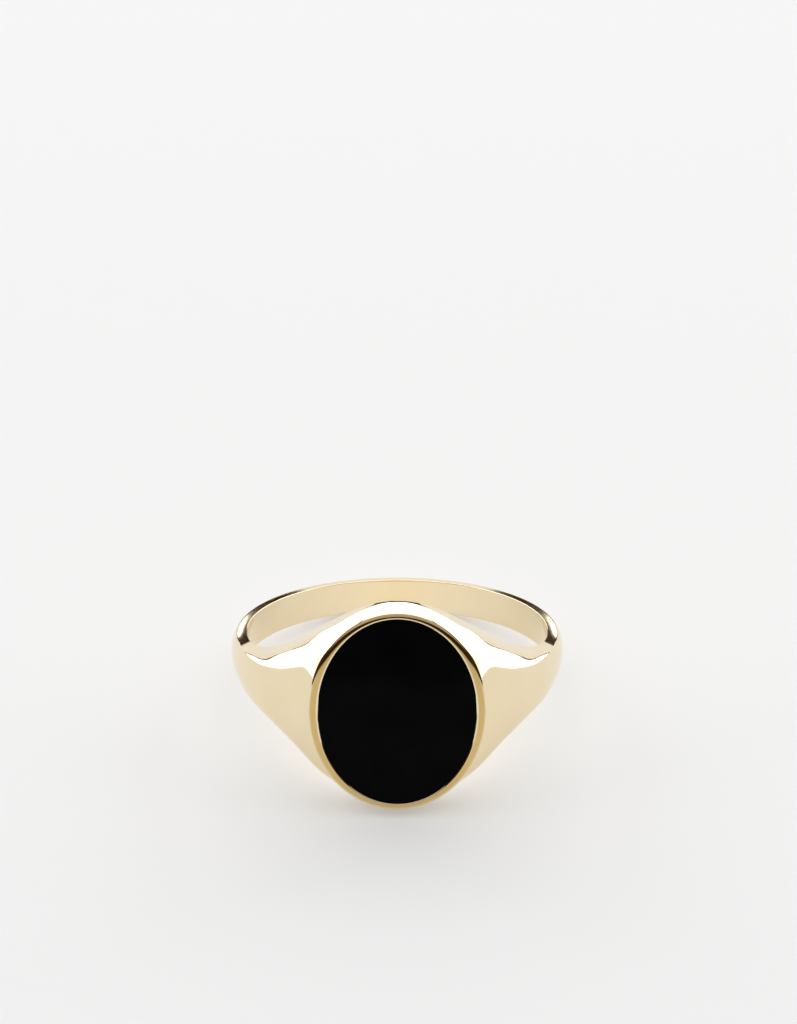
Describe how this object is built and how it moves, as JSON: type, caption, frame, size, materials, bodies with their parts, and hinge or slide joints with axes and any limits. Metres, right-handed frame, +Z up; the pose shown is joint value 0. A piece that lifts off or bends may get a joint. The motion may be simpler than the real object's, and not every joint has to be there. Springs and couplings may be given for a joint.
{
  "type": "signet ring",
  "caption": "Polished yellow metal signet ring: a slim band that flares into an oval head with a raised rim and a flat black stone inlay. Worn on a finger.",
  "frame": {"origin": "on the table, under the middle of the ring's bounding box as it lies at rest", "axes": "+Z up from the table; the face looks towards -Y and leans back about 15 degrees; X runs across the finger, from one shoulder to the other"},
  "size_m": [0.0218, 0.024, 0.0136],
  "materials": {
    "gold": "mirror polished, pale yellow",
    "onyx": "polished flat",
    "cement": "matt"
  },
  "bodies": {
    "root": {"ring_body": "gold", "onyx_inlay": "onyx", "setting_cement": "cement"}
  },
  "joints": []
}
